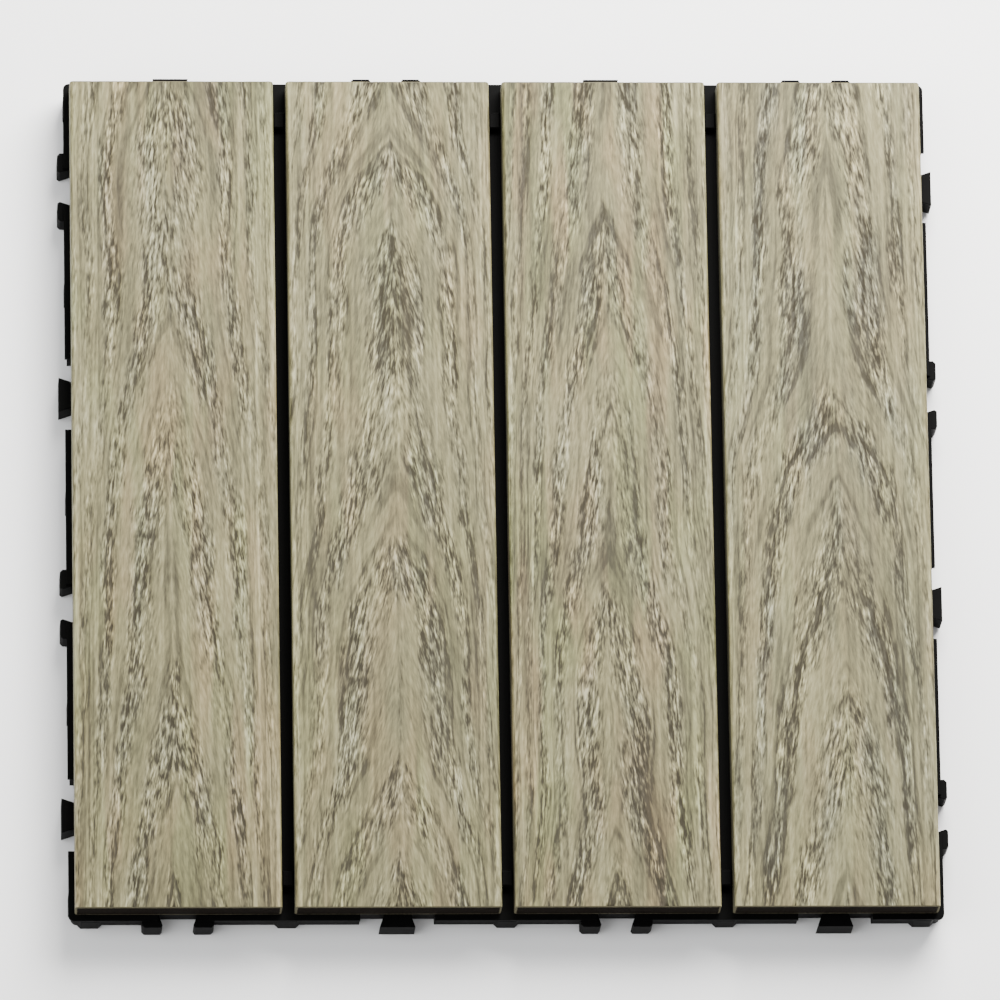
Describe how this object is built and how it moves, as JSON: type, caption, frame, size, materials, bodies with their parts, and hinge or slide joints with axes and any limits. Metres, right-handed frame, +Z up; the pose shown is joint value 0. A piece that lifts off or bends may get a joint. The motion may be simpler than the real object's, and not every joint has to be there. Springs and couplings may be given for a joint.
{
  "type": "interlocking deck tile",
  "caption": "Square deck tile: wood-grained composite slats screwed to a black moulded grid base with dovetail tongues and forks on every side.",
  "frame": {"origin": "on the ground, under the middle of the tile", "axes": "+Z up out of the walking face, Y along the slats with -Y at the front edge, X across the slats"},
  "size_m": [0.304, 0.304, 0.022],
  "materials": {
    "base_plastic": "black moulded polypropylene, fine matt texture",
    "slat_composite": "grey-brown wood-fibre composite with embossed, streaked grain and a dark brown core at the sawn ends",
    "screw_steel": "plain zinc-plated steel"
  },
  "bodies": {
    "root": {"base_grid": "base_plastic", "slat_1": "slat_composite", "slat_2": "slat_composite", "slat_3": "slat_composite", "slat_4": "slat_composite", "slat_1_screws": "screw_steel", "slat_2_screws": "screw_steel", "slat_3_screws": "screw_steel", "slat_4_screws": "screw_steel"}
  },
  "joints": []
}
